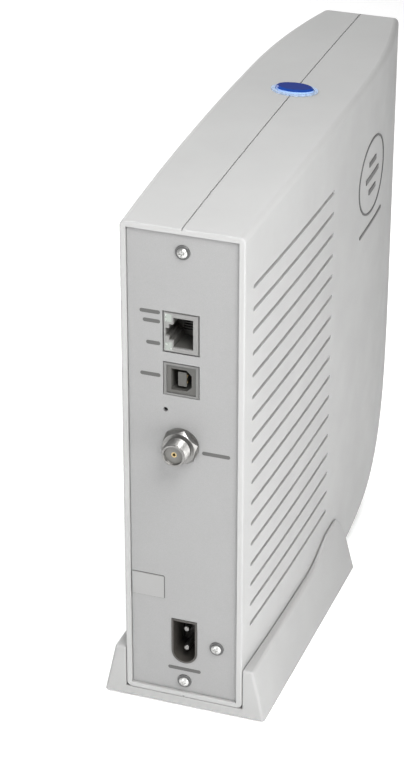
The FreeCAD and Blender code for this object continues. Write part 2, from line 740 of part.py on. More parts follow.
def tuner_can():
    """The folded metal box on the main board that the connector feeds."""
    x0, x1, y0, y1, z0, z1 = TUNER
    sheet = TUNER_SHEET
    inner = box(x0 - 1, x1 - sheet, y0 + sheet, y1 - sheet, z0 + sheet, z1 - sheet)
    hole = rod(TUNER_HOLE_RADIUS, (COAX_X, y0 - 1, COAX_Z), (COAX_X, y0 + 1, COAX_Z))
    walls = [box(x0, x1 - sheet, y, y + sheet, z0 + sheet, z1 - sheet) for y in TUNER_WALLS]
    return fuse([box(*TUNER).cut(inner).cut(hole)] + walls)


def tuner_lid():
    """The snap-on lid of the tuner's box, with its skirt and its adjusting holes."""
    _, x, y0, y1, z0, z1 = TUNER
    over = LID_OVERHANG
    sheet = box(x, x + LID_SHEET, y0 - over, y1 + over, z0 - over, z1 + over)
    skirt = box(x - LID_SKIRT, x, y1, y1 + over, z0 - over, z1 + over)
    holes = []
    for y in TUNER_HOLES_Y:
        for z in TUNER_HOLES_Z:
            holes.append(rod(TUNER_HOLE_RADIUS, (x - 1, y, z), (x + 1, y, z)))
    return sheet.fuse(skirt).cut(Part.makeCompound(holes))


# ---------------------------------------------------------------- mains inlet
def inlet_housing():
    face = PANEL_FACE - 0.3
    body = inlet_section(INLET_WIDE, INLET_HIGH, face, face + INLET_DEPTH)
    wide, high = INLET_WIDE - 2 * INLET_LIP, INLET_HIGH - 2 * INLET_LIP
    cavity = inlet_section(wide, high, face - 1, face + INLET_CAVITY_DEPTH)
    side = INLET_X - INLET_WIDE / 2 + 1
    foot = box(BOARD_FACE, side, face + 10.5, face + INLET_DEPTH, INLET_Z - 6, INLET_Z + 6)
    body = body.cut(cavity).fuse(foot)
    return body.cut(Part.makeCompound(inlet_pin_rods())).removeSplitter()


def inlet_pin_rods():
    face = PANEL_FACE - 0.3
    start = face + INLET_CAVITY_DEPTH - INLET_PIN_LENGTH
    pins = []
    for side in (-1, 1):
        z = INLET_Z + side * INLET_PIN_SPACING / 2
        pins.append(rod(INLET_PIN_RADIUS, (INLET_X, start, z), (INLET_X, face + INLET_DEPTH + 2, z)))
    return pins


def inlet_pins():
    """The two contact pins with rounded tips."""
    pins = []
    for pin in inlet_pin_rods():
        tip = pin.BoundBox.YMin
        rim = [e for e in pin.Edges if abs(e.BoundBox.YMax - tip) < 0.01]
        pins.append(pin.makeFillet(0.7, rim))
    return Part.makeCompound(pins)


# ---------------------------------------------------------------- buttons
def reset_switch():
    body = box(BOARD_FACE, BOARD_FACE + 4.4, 8.4, 13.0, RESET_Z - 3.4, RESET_Z + 3.4)
    return body.cut(rod(1.1, (RESET_X, 8, RESET_Z), (RESET_X, 11.6, RESET_Z)))


def reset_button():
    """The reset plunger: a wide tip behind the pinhole and a stem into its switch."""
    tip = rod(1.5, (RESET_X, 3.2, RESET_Z), (RESET_X, 5.0, RESET_Z))
    stem = rod(1.0, (RESET_X, 5.0, RESET_Z), (RESET_X, 10.8, RESET_Z))
    return fuse([tip, stem])


def standby_button():
    """The oval button: domed cap, retaining flange and stem."""
    cap = oval(STANDBY_HALF_X, STANDBY_HALF_Y, FLANGE_TOP - 0.6, STANDBY_TOP)
    rim = [e for e in cap.Edges if abs(e.BoundBox.ZMin - STANDBY_TOP) < 0.01]
    cap = cap.makeChamfer(0.8, rim)
    flange = oval(STANDBY_HALF_X + 1.5, STANDBY_HALF_Y + 1.5, FLANGE_BOTTOM, FLANGE_TOP)
    stem = rod(STEM_RADIUS, (0, STANDBY_Y, PLUNGER_TOP), (0, STANDBY_Y, FLANGE_BOTTOM))
    return fuse([cap, flange, stem])


def standby_bezel():
    """The oval ring set into the case round the standby button."""
    sleeve = oval(STANDBY_HALF_X + 0.9, STANDBY_HALF_Y + 0.9, FLANGE_TOP + 0.1, BEZEL_TOP)
    lip = oval(STANDBY_HALF_X + 1.7, STANDBY_HALF_Y + 1.7, CASE_TOP - 1, BEZEL_TOP).cut(envelope(0))
    opening = oval(STANDBY_HALF_X + 0.25, STANDBY_HALF_Y + 0.25, FLANGE_TOP - 1, BEZEL_TOP + 1)
    return fuse([sleeve, lip]).cut(opening)


def button_guide():
    """The cup that holds the button's spring, hung from the case's top by two posts."""
    cup_top = FLANGE_BOTTOM - STANDBY_TRAVEL - 0.6
    cup = rod(CUP_RADIUS + 1.0, (0, STANDBY_Y, GUIDE_FLOOR - 1.2), (0, STANDBY_Y, cup_top))
    hollow = rod(CUP_RADIUS, (0, STANDBY_Y, GUIDE_FLOOR), (0, STANDBY_Y, CASE_TOP))
    hole = rod(STEM_RADIUS + 0.3, (0, STANDBY_Y, GUIDE_FLOOR - 5), (0, STANDBY_Y, CASE_TOP))
    bridge = box(-16, 16, STANDBY_Y - 5, STANDBY_Y + 5, cup_top - 2.4, cup_top - 0.6)
    posts = [box(x, x + 3.4, STANDBY_Y - 4, STANDBY_Y + 4, cup_top - 0.6, 220) for x in (-16, 12.6)]
    return fuse([cup, bridge] + posts).cut(hollow).cut(hole).common(envelope(WALL))


def standby_spring():
    """A coil spring round the button's stem, made of tilted half turns, at its pressed length."""
    wire, radius, turns = 0.35, 3.9, 5
    low = GUIDE_FLOOR + wire
    high = FLANGE_BOTTOM - STANDBY_TRAVEL - 0.1 - wire
    rise = (high - low) / turns / 2
    halves = []
    for i in range(2 * turns):
        side = 1 if i % 2 == 0 else -1
        start = V(side * radius, STANDBY_Y, low + i * rise)
        end = V(-side * radius, STANDBY_Y, low + (i + 1) * rise)
        section = Part.Face(Part.Wire(Part.Circle(start, V(0, 1, 0), wire).toShape()))
        across = end - start
        axis = V(0, side, 0).cross(across) * -1
        halves.append(section.revolve((start + end) * 0.5, axis, 180))
    return fuse(halves)


def standby_switch():
    """The push switch on the main board's upper edge, under the standby button."""
    top = PLUNGER_TOP - 3.3
    body = box(BOARD_FACE, 4.2, STANDBY_Y - 4.2, STANDBY_Y + 4.2, top - 10.6, top)
    return body.cut(rod(1.6, (0, STANDBY_Y, top - 6.2), (0, STANDBY_Y, top)))


def standby_plunger():
    return rod(1.5, (0, STANDBY_Y, PLUNGER_TOP - 7.5), (0, STANDBY_Y, PLUNGER_TOP - 0.05))


# ---------------------------------------------------------------- status lights
def light_heights():
    return [LIGHT_FIRST_Z + i * LIGHT_PITCH for i in range(LIGHT_COUNT)]


def front_window():
    """The smoked strip in the nose that the status lights shine through."""
    bar = box(-WINDOW_HALF_WIDTH, WINDOW_HALF_WIDTH, 190, 260, WINDOW_LOW, WINDOW_HIGH)
    return envelope(0.25).cut(envelope(WALL)).common(bar)


def light_guide():
    """One clear moulding that leads each light from the board to the window."""
    arms = []
    for z in light_heights():
        arms.append(box(BOARD_FACE + 0.4, 1.6, 207.4, 209.6, z - 1.6, z + 1.6))
        arms.append(box(-1.6, 1.6, 207.4, 240, z - 1.6, z + 1.6))
    spine = box(BOARD_FACE + 0.4, BOARD_FACE + 2.2, 207.4, 209.6, LIGHT_FIRST_Z, light_heights()[-1])
    return fuse(arms + [spine]).common(envelope(WALL + 0.15))


def status_lights():
    return Part.makeCompound([
        box(BOARD_FACE, BOARD_FACE + 3.0, 203.4, 207.0, z - 1.5, z + 1.5) for z in light_heights()
    ])


# ---------------------------------------------------------------- boards and parts on them
def board(outline, keep_out):
    sheet = plate(outline, BOARD_BACK, BOARD_FACE)
    holes = [rod(BOARD_SCREW_RADIUS + 0.15, (-20, y, z), (0, y, z)) for y, z in BOARD_SCREW_SPOTS]
    return sheet.cut(Part.makeCompound(holes + keep_out))


def main_board():
    pegs = []
    for side in (-1, 1):
        z = JACK_Z + side * JACK_PEG_Z
        pegs.append(rod(0.95, (-20, JACK_PEG_Y, z), (0, JACK_PEG_Y, z)))
    return board(MAIN_OUTLINE, pegs + data_legs(0.1))


def chip(y, z, wide, high, thick):
    return box(BOARD_FACE, BOARD_FACE + thick, y - wide / 2, y + wide / 2, z - high / 2, z + high / 2)


def processor():
    return chip(*PROCESSOR_AT, PROCESSOR_SIDE, PROCESSOR_SIDE, PROCESSOR_THICKNESS)


def heat_sink():
    """A finned block on the processor."""
    y, z = PROCESSOR_AT
    foot = BOARD_FACE + PROCESSOR_THICKNESS
    top = foot + SINK_BASE
    y0, z0, z1 = y - SINK_SIDE_Y / 2, z - SINK_SIDE_Z / 2, z + SINK_SIDE_Z / 2
    blocks = [box(foot, top, y0, y0 + SINK_SIDE_Y, z0, z1)]
    for i in range(FIN_COUNT):
        start = y0 + 0.5 + i * FIN_PITCH
        blocks.append(box(top, foot + SINK_HEIGHT, start, start + FIN_THICKNESS, z0, z1))
    return fuse(blocks)


def memory_chips():
    return Part.makeCompound([chip(y, z, 22, 10.2, 1.2) for y, z in MEMORY_SPOTS])


def line_transformer():
    return chip(*LINE_TRANSFORMER_AT, 13, 16, 6.2)


def crystal():
    """The oval metal can of the clock crystal."""
    low, high = CRYSTAL_ENDS_Z
    top = BOARD_FACE + CRYSTAL_HEIGHT
    ends = [rod(CRYSTAL_RADIUS, (BOARD_FACE, CRYSTAL_Y, z), (top, CRYSTAL_Y, z)) for z in (low, high)]
    middle = box(BOARD_FACE, top, CRYSTAL_Y - CRYSTAL_RADIUS, CRYSTAL_Y + CRYSTAL_RADIUS, low, high)
    return fuse(ends + [middle])


def board_capacitors():
    top = BOARD_FACE + CAPACITOR_HEIGHT
    cans = [rod(CAPACITOR_RADIUS, (BOARD_FACE, y, z), (top, y, z)) for y, z in CAPACITOR_SPOTS]
    return Part.makeCompound(cans)


def supply_board():
    return board(SUPPLY_OUTLINE, [])


def core_leg(extra):
    """The transformer core's middle leg, longer by extra at both ends."""
    low, high = BOARD_FACE + CORE_LIMB, BOARD_FACE + CORE_HEIGHT - CORE_LIMB
    return box(low, high, *CORE_LEG_Y, CORE_Z[0] - extra, CORE_Z[1] + extra)


def transformer_core():
    """The ferrite frame of the supply's transformer."""
    outer = box(BOARD_FACE, BOARD_FACE + CORE_HEIGHT, *CORE_Y, *CORE_Z)
    low, high = BOARD_FACE + CORE_LIMB + 0.5, BOARD_FACE + CORE_HEIGHT - CORE_LIMB - 0.5
    window = box(low, high, CORE_Y[0] + CORE_LIMB, CORE_Y[1] - CORE_LIMB, CORE_Z[0] - 1, CORE_Z[1] + 1)
    return outer.cut(window).fuse(core_leg(0)).removeSplitter()


def transformer_winding():
    """The winding on both sides of the core's middle leg, standing out past the core."""
    gap = 0.2
    low = BOARD_FACE + CORE_LIMB + 0.6
    high = BOARD_FACE + CORE_HEIGHT - CORE_LIMB - 0.6
    start, end = CORE_Y[0] + CORE_LIMB + gap, CORE_Y[1] - CORE_LIMB - gap
    coil = box(low, high, start, end, CORE_Z[0] - 1.6, CORE_Z[1] + 1)
    return coil.cut(core_leg(3))


def mains_capacitor():
    x = BOARD_FACE + MAINS_CAPACITOR_RADIUS
    start, end = MAINS_CAPACITOR_Y
    can = rod(MAINS_CAPACITOR_RADIUS, (x, start, MAINS_CAPACITOR_Z), (x, end, MAINS_CAPACITOR_Z))
    ends = [e for e in can.Edges if e.Curve.TypeId == "Part::GeomCircle"]
    return can.makeFillet(0.8, ends)


def supply_heat_sink():
    """An L-shaped aluminium plate on the supply board."""
    start, end = SUPPLY_SINK_Y
    top = BOARD_FACE + SUPPLY_SINK_HEIGHT
    upright = box(BOARD_FACE, top, start, start + SUPPLY_SINK_SHEET, *SUPPLY_SINK_Z)
    flange = box(top - SUPPLY_SINK_SHEET, top, start, end, *SUPPLY_SINK_Z)
    return upright.fuse(flange).removeSplitter()


def power_transistor():
    back = SUPPLY_SINK_Y[0] + SUPPLY_SINK_SHEET
    middle = sum(SUPPLY_SINK_Z) / 2 - 0.5
    return box(BOARD_FACE + 3, BOARD_FACE + 17, back, back + 4.4, middle - 5, middle + 5)


def fuse_tube():
    start, end = FUSE_ENDS_Y
    return rod(FUSE_RADIUS, (FUSE_X, start, FUSE_Z), (FUSE_X, end, FUSE_Z))


def fuse_caps():
    """The fuse's two end caps, each on a foot that is soldered to the board."""
    caps = []
    for y in (FUSE_ENDS_Y[0] - FUSE_CAP_LENGTH, FUSE_ENDS_Y[1]):
        cap = rod(FUSE_CAP_RADIUS, (FUSE_X, y, FUSE_Z), (FUSE_X, y + FUSE_CAP_LENGTH, FUSE_Z))
        foot = box(BOARD_FACE, FUSE_X, y + 1, y + 2, FUSE_Z - 1.5, FUSE_Z + 1.5)
        caps.append(cap.fuse(foot).removeSplitter())
    return Part.makeCompound(caps)


def filter_choke():
    """The ring core of the supply's mains filter."""
    y, z = CHOKE_AT
    ring = rod(CHOKE_RADIUS, (BOARD_FACE, y, z), (BOARD_FACE + CHOKE_HEIGHT, y, z))
    return ring.cut(rod(CHOKE_BORE, (BOARD_FACE, y, z), (BOARD_FACE + CHOKE_HEIGHT + 1, y, z)))


# ---------------------------------------------------------------- supply lead inside the case
def lead_plugs():
    face = BOARD_FACE + PLUG_REACH
    return Part.makeCompound([box(BOARD_FACE, face, *PLUG_Y, z, z + PLUG_THICKNESS) for z in PLUG_FEET_Z])


def supply_lead():
    """Four wires that arch from the supply board's plug to the main board's."""
    wires = []
    low, high = (z + PLUG_THICKNESS / 2 for z in PLUG_FEET_Z)
    rise = V(LEAD_RISE, 0, 0)
    for i in range(LEAD_COUNT):
        y = LEAD_FIRST_Y + i * LEAD_PITCH
        start, end = V(BOARD_FACE + PLUG_REACH, y, low), V(BOARD_FACE + PLUG_REACH, y, high)
        middle = (start + end) * 0.5 + rise + V((end - start).Length / 2, 0, 0)
        path = Part.Wire([
            Part.makeLine(start, start + rise),
            Part.Arc(start + rise, middle, end + rise).toShape(),
            Part.makeLine(end + rise, end),
        ])
        section = Part.Wire(Part.Circle(start, V(1, 0, 0), LEAD_RADIUS).toShape())
        wires.append(path.makePipeShell([section], True, True))
    return Part.makeCompound(wires)


# ---------------------------------------------------------------- stand
def stand_section(y0, y1):
    """The stand's flared block between two depths, before it is cut to height."""
    high = STAND_EAR_TOP + 1
    low_half = STAND_FOOT_HALF_WIDTH
    high_half = STAND_FOOT_HALF_WIDTH - STAND_FLARE * high
    low = STAND_UNDERSIDE
    return slab([(-low_half, low), (low_half, low), (high_half, high), (-high_half, high)], y0, y1)


def stand_height():
    """The stand seen from the side: a low wall that sweeps up into an ear at its front."""
    low = STAND_UNDERSIDE
    end = STAND_LENGTH

    def at(y, z):
        return V(-40, y, z)

    sweep_start, sweep_end = at(end - 45, STAND_WALL_TOP), at(end - 19, STAND_EAR_TOP)
    ear_end, ear_low = at(end - 13, STAND_EAR_TOP), at(end - 1.6, 17.0)
    outline = Part.Wire([
        Part.makeLine(at(-1, low), at(-1, STAND_WALL_TOP)),
        Part.makeLine(at(-1, STAND_WALL_TOP), sweep_start),
        Part.Arc(sweep_start, at(end - 29.5, STAND_WALL_TOP + 3.0), sweep_end).toShape(),
        Part.makeLine(sweep_end, ear_end),
        Part.Arc(ear_end, at(end - 5.4, 24.6), ear_low).toShape(),
        Part.makeLine(ear_low, at(end, low)),
        Part.makeLine(at(end, low), at(-1, low)),
    ])
    return Part.Face(outline).extrude(V(80, 0, 0))


def rounded_stand(cradle):
    """The stand's block with its outer edges rounded, and the walls' inner edges once it is cut."""
    block = stand_section(0, STAND_LENGTH).common(stand_height())
    outer = [e for e in block.Edges if abs(e.BoundBox.ZMax - STAND_UNDERSIDE) > 0.01]
    block = block.makeFillet(STAND_ROUNDING, outer).cut(cradle)
    inner = []
    for edge in block.Edges:
        middle = edge.valueAt((edge.FirstParameter + edge.LastParameter) / 2)
        on_cradle = abs(abs(middle.x) - REAR_HALF_WIDTH - STAND_GAP) < 3.5
        if on_cradle and middle.z > STAND_WALL_TOP - 0.01 and middle.y > 1:
            inner.append(edge)
    return block.makeFillet(STAND_INNER_ROUNDING, inner)


def stand():
    """The flared stand: a cradle for the case, hollowed from below, with pads' recesses."""
    block = rounded_stand(plan_profile(-STAND_GAP, UNDERSIDE, 60))
    hollow = box(-26, 26, 21, STAND_LENGTH - 20, STAND_UNDERSIDE - 1, 2.2)
    bosses = [rod(6.0, (0, y, STAND_UNDERSIDE), (0, y, 3)) for y in STAND_SCREW_SPOTS]
    recesses = [rod(FOOT_RADIUS, (x, y, -1), (x, y, FOOT_THICKNESS)) for x, y in FOOT_SPOTS]
    heads = [rod(3.0, (0, y, -1), (0, y, 3.0)) for y in STAND_SCREW_SPOTS]
    holes = [rod(SCREW_SHANK_RADIUS + 0.15, (0, y, -1), (0, y, 6)) for y in STAND_SCREW_SPOTS]
    block = block.cut(hollow).fuse(Part.makeCompound(bosses))
    return block.cut(Part.makeCompound(recesses + heads + holes)).removeSplitter()


def stand_pads():
    return Part.makeCompound([rod(FOOT_RADIUS, (x, y, 0), (x, y, FOOT_THICKNESS)) for x, y in FOOT_SPOTS])


# ---------------------------------------------------------------- side badges
def badge_outline(grow):
    curve = Part.Ellipse(V(0, 0, 0), BADGE_HALF_Y + grow, BADGE_HALF_Z + grow)
    face = Part.Face(Part.Wire(curve.toShape()))
    turn = FreeCAD.Rotation(V(0, 1, 0), V(0, 0, 1), V(1, 0, 0), "XYZ")
    face.Placement = FreeCAD.Placement(V(-40, BADGE_Y, BADGE_Z), turn)
    return face.extrude(V(80, 0, 0))


def badge_bars():
    """Three short level bars inside the oval and one under it, a plain device with no meaning."""
    bars = []
    for half, rise, thick in BADGE_BARS:
        z = BADGE_Z + rise
        bars.append(box(-40, 40, BADGE_Y - half, BADGE_Y + half, z - thick / 2, z + thick / 2))
    return bars


def side_badges():
    """The oval line and the bars on both sides of the case, standing just proud of it."""
    skin = envelope(-BADGE_RELIEF).cut(envelope(0))
    ring = badge_outline(0).cut(badge_outline(-BADGE_LINE))
    return skin.common(Part.makeCompound([ring] + badge_bars()))


# ---------------------------------------------------------------- output
def save(name, shape):
    shape.translate(V(0, -Y_CENTRE, 0))
    solids = shape.Solids
    for solid in solids:
        if not solid.isValid() or solid.Volume <= 0:
            print(name, "has a bad solid", solid.isValid(), round(solid.Volume, 2))
    whole = solids[0] if len(solids) == 1 else Part.makeCompound(solids)
    whole.exportStep("parts/" + name + ".step")
    print(name, len(solids), round(sum(s.Volume for s in solids) / 1000, 2), "cm3")


def main():
    os.makedirs("parts", exist_ok=True)
    left, right = case_halves()
    save("left_shell", left)
    save("right_shell", right)
    makers = {
        "port_panel": panel, "panel_screws": panel_screws,
        "panel_washers": panel_washers, "label_plate": label_plate,
        "jack_frame": jack_frame, "jack_housing": jack_housing, "jack_shield": jack_shield,
        "jack_contacts": jack_contacts,
        "data_shell": data_shell, "data_insert": data_insert, "data_contacts": data_contacts,
        "coax_body": coax_body, "coax_insulator": coax_insulator, "coax_contact": coax_contact,
        "coax_washer": coax_washer, "coax_nut": coax_nut,
        "tuner_can": tuner_can, "tuner_lid": tuner_lid,
        "inlet_housing": inlet_housing, "inlet_pins": inlet_pins,
        "reset_switch": reset_switch, "reset_button": reset_button,
        "standby_button": standby_button, "standby_bezel": standby_bezel,
        "button_guide": button_guide, "standby_spring": standby_spring,
        "standby_switch": standby_switch, "standby_plunger": standby_plunger,
        "front_window": front_window, "light_guide": light_guide, "status_lights": status_lights,
        "main_board": main_board, "board_screws": board_screws, "processor": processor,
        "heat_sink": heat_sink, "memory_chips": memory_chips, "line_transformer": line_transformer,
        "crystal": crystal, "board_capacitors": board_capacitors, "supply_board": supply_board,
        "transformer_core": transformer_core, "transformer_winding": transformer_winding,
        "mains_capacitor": mains_capacitor, "supply_heat_sink": supply_heat_sink,
        "power_transistor": power_transistor, "fuse_tube": fuse_tube, "fuse_caps": fuse_caps,
        "filter_choke": filter_choke, "lead_plugs": lead_plugs, "supply_lead": supply_lead,
        "stand": stand, "stand_pads": stand_pads, "stand_screws": stand_screws,
        "side_badges": side_badges,
    }
    for name, make in makers.items():
        save(name, make())
    save("jack_lights", Part.makeCompound(jack_led_windows()))


main()
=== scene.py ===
import json
import math

import bmesh
import bpy
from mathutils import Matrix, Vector
from mathutils.bvhtree import BVHTree


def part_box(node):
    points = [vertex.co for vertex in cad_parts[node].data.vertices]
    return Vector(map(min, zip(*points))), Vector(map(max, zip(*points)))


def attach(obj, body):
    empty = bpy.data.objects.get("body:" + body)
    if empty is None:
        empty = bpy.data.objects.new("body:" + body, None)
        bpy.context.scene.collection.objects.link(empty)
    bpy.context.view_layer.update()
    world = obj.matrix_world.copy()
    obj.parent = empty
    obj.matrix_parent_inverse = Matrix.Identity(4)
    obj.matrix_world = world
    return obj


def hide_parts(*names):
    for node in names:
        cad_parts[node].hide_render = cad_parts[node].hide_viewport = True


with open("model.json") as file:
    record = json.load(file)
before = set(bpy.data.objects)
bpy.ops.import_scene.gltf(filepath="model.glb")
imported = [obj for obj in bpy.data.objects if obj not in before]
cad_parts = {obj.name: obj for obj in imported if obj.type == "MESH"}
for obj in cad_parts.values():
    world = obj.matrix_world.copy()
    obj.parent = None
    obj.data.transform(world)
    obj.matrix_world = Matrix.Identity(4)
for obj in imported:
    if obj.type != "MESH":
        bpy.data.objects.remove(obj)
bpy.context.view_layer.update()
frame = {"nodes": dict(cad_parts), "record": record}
NODES = frame["nodes"]
MM = 0.001
HOUSING = "housing"


# ---------------------------------------------------------------- camera, floor and light
CAMERA_AT = Vector((0.273, -0.841, 0.556))
AZIMUTH, ELEVATION = 19.89, 28.09
LENS, SENSOR = 114.608475, 36
SKY_STRENGTH = 0.42
FLOOR_REACH, FLOOR_GLOW = 4, 0.2
SUN_TOWARDS, SUN_ANGLE, SUN_STRENGTH = (-0.12, -0.14, 0.97), 35, 0.2

# Each softbox: its place, the point that it faces, the length of its side and its power
SOFTBOXES = {
    "upper_box": ((0.17, -0.28, 0.47), (0.01, -0.08, 0.19), 0.22, 2.55),
    "fill": ((-0.55, 0.35, 0.55), (0, 0, 0.1), 0.4, 4.4),
    "port_box": ((-0.25, -0.75, 0.25), (0, -0.11, 0.11), 0.3, 1.8),
    "lower_box": ((0.25, -0.23, 0.09), (0.02, -0.10, 0.05), 0.2, 0.68),
}


def heading(azimuth, elevation):
    """The unit vector along which a camera at this azimuth and elevation, in degrees, looks."""
    a, e = math.radians(azimuth), math.radians(elevation)
    return Vector((-math.sin(a) * math.cos(e), math.cos(a) * math.cos(e), -math.sin(e)))


def add_object(name, data):
    """Links a camera, light or mesh to the scene as an object."""
    made = bpy.data.objects.new(name, data)
    bpy.context.scene.collection.objects.link(made)
    return made


def face_along(thing, direction):
    """Turns a camera or light so that it looks or shines along direction."""
    thing.rotation_mode = "QUATERNION"
    thing.rotation_quaternion = direction.to_track_quat("-Z", "Y")


def make_camera():
    """An ordinary camera that looks down at the port side from its right."""
    camera = add_object("camera", bpy.data.cameras.new("camera"))
    camera.data.sensor_width = SENSOR
    camera.data.lens = LENS
    camera.location = CAMERA_AT
    face_along(camera, heading(AZIMUTH, ELEVATION))
    bpy.context.scene.camera = camera


def make_sky():
    """A pale, even sky, with tones shown as they are."""
    world = bpy.data.worlds.new("sky")
    world.use_nodes = True
    world.node_tree.nodes["Background"].inputs["Color"].default_value = (1, 1, 1, 1)
    world.node_tree.nodes["Background"].inputs["Strength"].default_value = SKY_STRENGTH
    bpy.context.scene.world = world
    bpy.context.scene.view_settings.view_transform = "Standard"


def make_floor():
    """A wide white sheet that glows faintly."""
    mesh = bpy.data.meshes.new("floor")
    corners = [(x * FLOOR_REACH, y * FLOOR_REACH, 0) for x, y in ((-1, -1), (1, -1), (1, 1), (-1, 1))]
    mesh.from_pydata(corners, [], [(0, 1, 2, 3)])
    floor = add_object("floor", mesh)
    floor.data.materials.append(FINISHES["lit_sheet"])


def make_lights():
    """A soft sun overhead, three softboxes at the port side and a fill behind."""
    sun = add_object("sun", bpy.data.lights.new("sun", "SUN"))
    sun.data.angle = math.radians(SUN_ANGLE)
    sun.data.energy = SUN_STRENGTH
    face_along(sun, -Vector(SUN_TOWARDS))
    for name, (place, target, side, power) in SOFTBOXES.items():
        box = add_object(name, bpy.data.lights.new(name, "AREA"))
        box.data.size = side
        box.data.energy = power
        box.location = place
        face_along(box, Vector(target) - Vector(place))


# ---------------------------------------------------------------- materials
FINISHES = {}
GREY = (0.328, 0.328, 0.325)
GRAIN_DEPTH = 0.12 * MM
STREAK_DEPTH = 0.06 * MM
TRACK_DEPTH = 0.04 * MM
WIRE_DEPTH = 0.2 * MM


class Finish:
    """One slot's node material under construction, with noise that lies in the object's own metres."""

    def __init__(self, slot, colour, rough, metal=0.0):
        self.material = bpy.data.materials.new(slot)
        FINISHES[slot] = self.material
        self.material.use_nodes = True
        self.tree = self.material.node_tree
        self.shader = self.tree.nodes["Principled BSDF"]
        self.shader.inputs["Base Color"].default_value = (*colour, 1)
        self.shader.inputs["Roughness"].default_value = rough
        self.shader.inputs["Metallic"].default_value = metal
        self.place = self.add("ShaderNodeTexCoord").outputs["Object"]

    def add(self, kind, **values):
        """A new node with the given properties."""
        node = self.tree.nodes.new(kind)
        for key, value in values.items():
            setattr(node, key, value)
        return node

    def link(self, source, target):
        self.tree.links.new(source, target)

    def mapped(self, key, value):
        """The object's coordinates with a mapping's Scale or Rotation applied."""
        node = self.add("ShaderNodeMapping")
        node.inputs[key].default_value = value
        self.link(self.place, node.inputs["Vector"])
        return node.outputs["Vector"]

    def noise(self, scale, detail=2.0, place=None):
        node = self.add("ShaderNodeTexNoise")
        node.inputs["Scale"].default_value = scale
        node.inputs["Detail"].default_value = detail
        self.link(place or self.place, node.inputs["Vector"])
        return node.outputs["Fac"]

    def ramp(self, source, stops):
        """A colour ramp over source, with stops of (position, colour)."""
        node = self.add("ShaderNodeValToRGB")
        points = node.color_ramp.elements
        while len(points) < len(stops):
            points.new(0.5)
        for point, (position, colour) in zip(points, stops):
            point.position = position
            point.color = (*colour, 1)
        self.link(source, node.inputs["Fac"])
        return node.outputs["Color"]

    def colour_from(self, source, stops):
        """Base colour from a ramp over source."""
        self.link(self.ramp(source, stops), self.shader.inputs["Base Color"])

    def rough_from(self, source, low, high):
        """Roughness from low to high over the middle of a noise's range."""
        node = self.add("ShaderNodeMapRange")
        for key, value in (("From Min", 0.3), ("From Max", 0.7), ("To Min", low), ("To Max", high)):
            node.inputs[key].default_value = value
        self.link(source, node.inputs["Value"])
        self.link(node.outputs["Result"], self.shader.inputs["Roughness"])

    def bump_from(self, source, strength, distance):
        """Relief from source, whose full height is distance in metres."""
        node = self.add("ShaderNodeBump")
        node.inputs["Strength"].default_value = strength
        node.inputs["Distance"].default_value = distance
        self.link(source, node.inputs["Height"])
        self.link(node.outputs["Normal"], self.shader.inputs["Normal"])

    def set(self, **values):
        """Sets the shader's own sockets, named with _ where their names have a space."""
        for key, value in values.items():
            self.shader.inputs[key.replace("_", " ")].default_value = value


def tints(colour, spread):
    """Ramp stops from a little darker to a little lighter than colour."""
    dark = tuple(c * (1 - spread) for c in colour)
    light = tuple(min(c * (1 + spread), 1) for c in colour)
    return ((0.3, dark), (0.7, light))


def plastic(slot, colour, rough, grain=2200, relief=0.12, spread=0.03, shine=0.5, coat=0.0, glow=0.0):
    """Moulded plastic: spark-eroded grain, slow colour drift and uneven gloss."""
    f = Finish(slot, colour, rough)
    f.colour_from(f.noise(26, 4), tints(colour, spread))
    f.rough_from(f.noise(70, 3), rough - 0.06, rough + 0.06)
    f.bump_from(f.noise(grain), relief, GRAIN_DEPTH)
    f.set(Specular_IOR_Level=shine, Coat_Weight=coat)
    if glow:
        f.set(Emission_Color=(*colour, 1), Emission_Strength=glow)


def painted(slot, colour, rough):
    """Powder coat on sheet metal: orange peel with a fine speckle."""
    f = Finish(slot, colour, rough)
    f.colour_from(f.noise(5200, 1), tints(colour, 0.06))
    f.rough_from(f.noise(900), rough - 0.08, rough + 0.08)
    f.bump_from(f.noise(1100), 0.16, GRAIN_DEPTH)


def metal(slot, colour, rough, along=(1, 1, 1), grain=1500):
    """Plated or drawn metal: streaks along one way and blotchy gloss."""
    f = Finish(slot, colour, rough, 1.0)
    streaks = f.noise(grain, 3, f.mapped("Scale", along))
    f.colour_from(f.noise(180, 4), tints(colour, 0.08))
    f.rough_from(streaks, rough - 0.08, rough + 0.12)
    f.bump_from(streaks, 0.12, STREAK_DEPTH)


def clear(slot, colour, rough, glow=0.0):
    """Tinted translucent moulding with faint flow marks."""
    f = Finish(slot, colour, rough)
    f.colour_from(f.noise(240, 3, f.mapped("Scale", (1, 1, 0.3))), tints(colour, 0.06))
    f.rough_from(f.noise(500), rough * 0.7, rough * 1.3)
    f.set(Transmission_Weight=0.35, IOR=1.49)
    if glow:
        f.set(Emission_Color=(*colour, 1), Emission_Strength=glow)


